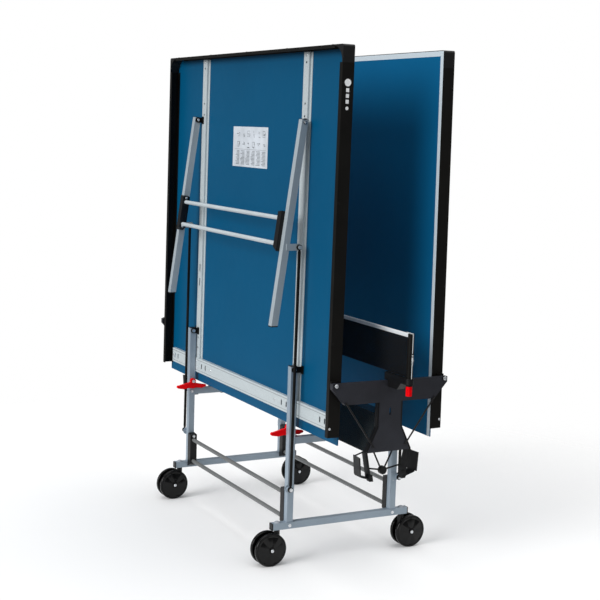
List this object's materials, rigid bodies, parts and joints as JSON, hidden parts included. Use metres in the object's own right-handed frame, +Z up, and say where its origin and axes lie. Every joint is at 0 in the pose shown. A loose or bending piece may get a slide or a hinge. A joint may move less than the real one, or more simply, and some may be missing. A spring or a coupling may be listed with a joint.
{
  "type": "folding table tennis table",
  "caption": "Rolling table tennis table with blue halves folded upright, swing-down legs, bat and ball holders and a net.",
  "frame": {"origin": "on the floor, under the middle of the net", "axes": "+Z up, X along the playing direction, Y across the table along the net; -Y is the near end"},
  "size_m": [0.725, 1.8416, 1.874],
  "materials": {
    "silver_paint": "satin",
    "black_paint": "satin",
    "galvanised_steel": "spangled zinc",
    "bare_steel": "satin",
    "tie_paint": "satin",
    "leg_tie_paint": "satin",
    "zinc_bolts": "zinc plated",
    "blue_board": "matt coated",
    "black_plastic": "moulded",
    "grey_plastic": "moulded",
    "holder_plastic": "moulded",
    "box_plastic": "moulded",
    "red_plastic": "moulded",
    "wheel_plastic": "moulded",
    "net_mesh": "knotted mesh",
    "net_tape": "woven tape",
    "cord": "braided"
  },
  "bodies": {
    "carriage": {"foot_beam_near": "silver_paint", "foot_beam_far": "silver_paint", "post_near_left": "silver_paint", "post_near_right": "silver_paint", "post_far_left": "silver_paint", "post_far_right": "silver_paint", "cross_beam_near": "silver_paint", "cross_beam_far": "silver_paint", "rod_brackets": "black_plastic", "tie_rods_left": "tie_paint", "tie_rods_right": "tie_paint", "tube_caps": "black_plastic", "stem_caps": "grey_plastic", "carriage_bolts": "zinc_bolts", "holder_plate_near": "holder_plastic", "holder_plate_far": "holder_plastic", "ball_box_near": "box_plastic", "ball_box_far": "box_plastic", "bat_pockets_near": "black_plastic", "bat_pockets_far": "black_plastic", "holder_braces_near": "black_plastic", "holder_braces_far": "black_plastic", "net_post_near": "black_paint", "net_post_far": "black_paint", "net_clamps": "black_plastic", "net": "net_mesh", "net_tape": "net_tape", "net_cords": "cord"},
    "half_left": {"board_left": "blue_board", "apron_left": "black_paint", "corner_covers_left": "black_plastic", "underframe_left": "galvanised_steel", "pivot_brackets_left": "black_paint"},
    "leg_frame_left": {"legs_left": "silver_paint", "leg_ties_left": "leg_tie_paint", "leg_fittings_left": "black_plastic"},
    "link_pair_left": {"links_left": "black_paint"},
    "half_right": {"board_right": "blue_board", "apron_right": "black_paint", "corner_covers_right": "black_plastic", "underframe_right": "galvanised_steel", "pivot_brackets_right": "black_paint"},
    "leg_frame_right": {"legs_right": "silver_paint", "leg_ties_right": "leg_tie_paint", "leg_fittings_right": "black_plastic"},
    "link_pair_right": {"links_right": "black_paint"},
    "lever_near_left": {"lock_lever_near_left": "red_plastic"},
    "fork_near_left": {"caster_near_left": "black_plastic"},
    "wheel_pair_near_left": {"wheels_near_left": "wheel_plastic"},
    "lever_near_right": {"lock_lever_near_right": "red_plastic"},
    "fork_near_right": {"caster_near_right": "black_plastic"},
    "wheel_pair_near_right": {"wheels_near_right": "wheel_plastic"},
    "knob_near": {"net_knob_near": "red_plastic"},
    "lever_far_left": {"lock_lever_far_left": "red_plastic"},
    "fork_far_left": {"caster_far_left": "black_plastic"},
    "wheel_pair_far_left": {"wheels_far_left": "wheel_plastic"},
    "lever_far_right": {"lock_lever_far_right": "red_plastic"},
    "fork_far_right": {"caster_far_right": "black_plastic"},
    "wheel_pair_far_right": {"wheels_far_right": "wheel_plastic"},
    "knob_far": {"net_knob_far": "red_plastic"}
  },
  "joints": [
    {"name": "fold_left", "type": "hinge", "parent": "carriage", "child": "half_left", "pos_m": [-0.221, 0, 0.725], "axis": [0, -1, 0], "range_deg": [0, 90.45]},
    {"name": "leg_swing_left", "type": "hinge", "parent": "half_left", "child": "leg_frame_left", "pos_m": [-0.21403, 0, 1.61197], "axis": [0, -1, 0], "range_deg": [-90.45, 0]},
    {"name": "link_swing_left", "type": "hinge", "parent": "carriage", "child": "link_pair_left", "pos_m": [-0.233, 0, 0.285], "axis": [0, -1, 0], "range_deg": [0, 90.45]},
    {"name": "fold_right", "type": "hinge", "parent": "carriage", "child": "half_right", "pos_m": [0.221, 0, 0.725], "axis": [0, 1, 0], "range_deg": [0, 90.45]},
    {"name": "leg_swing_right", "type": "hinge", "parent": "half_right", "child": "leg_frame_right", "pos_m": [0.21403, 0, 1.61197], "axis": [0, 1, 0], "range_deg": [-90.45, 0]},
    {"name": "link_swing_right", "type": "hinge", "parent": "carriage", "child": "link_pair_right", "pos_m": [0.233, 0, 0.285], "axis": [0, 1, 0], "range_deg": [0, 90.45]},
    {"name": "lever_turn_near_left", "type": "hinge", "parent": "carriage", "child": "lever_near_left", "pos_m": [-0.221, -0.4484, 0.508], "axis": [0, 1, 0], "range_deg": [0, 25]},
    {"name": "swivel_near_left", "type": "hinge", "parent": "carriage", "child": "fork_near_left", "pos_m": [-0.267, -0.4675, 0.14], "axis": [0, 0, 1], "continuous": true},
    {"name": "roll_near_left", "type": "hinge", "parent": "fork_near_left", "child": "wheel_pair_near_left", "pos_m": [-0.3, -0.4675, 0.0625], "axis": [0, 1, 0], "continuous": true},
    {"name": "lever_turn_near_right", "type": "hinge", "parent": "carriage", "child": "lever_near_right", "pos_m": [0.221, -0.4484, 0.508], "axis": [0, -1, 0], "range_deg": [0, 25]},
    {"name": "swivel_near_right", "type": "hinge", "parent": "carriage", "child": "fork_near_right", "pos_m": [0.267, -0.4675, 0.14], "axis": [0, 0, 1], "continuous": true},
    {"name": "roll_near_right", "type": "hinge", "parent": "fork_near_right", "child": "wheel_pair_near_right", "pos_m": [0.3, -0.4675, 0.0625], "axis": [0, 1, 0], "continuous": true},
    {"name": "knob_turn_near", "type": "hinge", "parent": "carriage", "child": "knob_near", "pos_m": [0, -0.904, 0.72], "axis": [0, 0, 1], "continuous": true},
    {"name": "lever_turn_far_left", "type": "hinge", "parent": "carriage", "child": "lever_far_left", "pos_m": [-0.221, 0.4484, 0.508], "axis": [0, 1, 0], "range_deg": [0, 25]},
    {"name": "swivel_far_left", "type": "hinge", "parent": "carriage", "child": "fork_far_left", "pos_m": [-0.267, 0.4675, 0.14], "axis": [0, 0, 1], "continuous": true},
    {"name": "roll_far_left", "type": "hinge", "parent": "fork_far_left", "child": "wheel_pair_far_left", "pos_m": [-0.3, 0.4675, 0.0625], "axis": [0, 1, 0], "continuous": true},
    {"name": "lever_turn_far_right", "type": "hinge", "parent": "carriage", "child": "lever_far_right", "pos_m": [0.221, 0.4484, 0.508], "axis": [0, -1, 0], "range_deg": [0, 25]},
    {"name": "swivel_far_right", "type": "hinge", "parent": "carriage", "child": "fork_far_right", "pos_m": [0.267, 0.4675, 0.14], "axis": [0, 0, 1], "continuous": true},
    {"name": "roll_far_right", "type": "hinge", "parent": "fork_far_right", "child": "wheel_pair_far_right", "pos_m": [0.3, 0.4675, 0.0625], "axis": [0, 1, 0], "continuous": true},
    {"name": "knob_turn_far", "type": "hinge", "parent": "carriage", "child": "knob_far", "pos_m": [0, 0.904, 0.72], "axis": [0, 0, 1], "continuous": true}
  ],
  "couplings": [
    {"joint": "leg_swing_left", "follows": "fold_left", "ratio": -1},
    {"joint": "link_swing_left", "follows": "fold_left", "ratio": 1},
    {"joint": "leg_swing_right", "follows": "fold_right", "ratio": -1},
    {"joint": "link_swing_right", "follows": "fold_right", "ratio": 1}
  ]
}
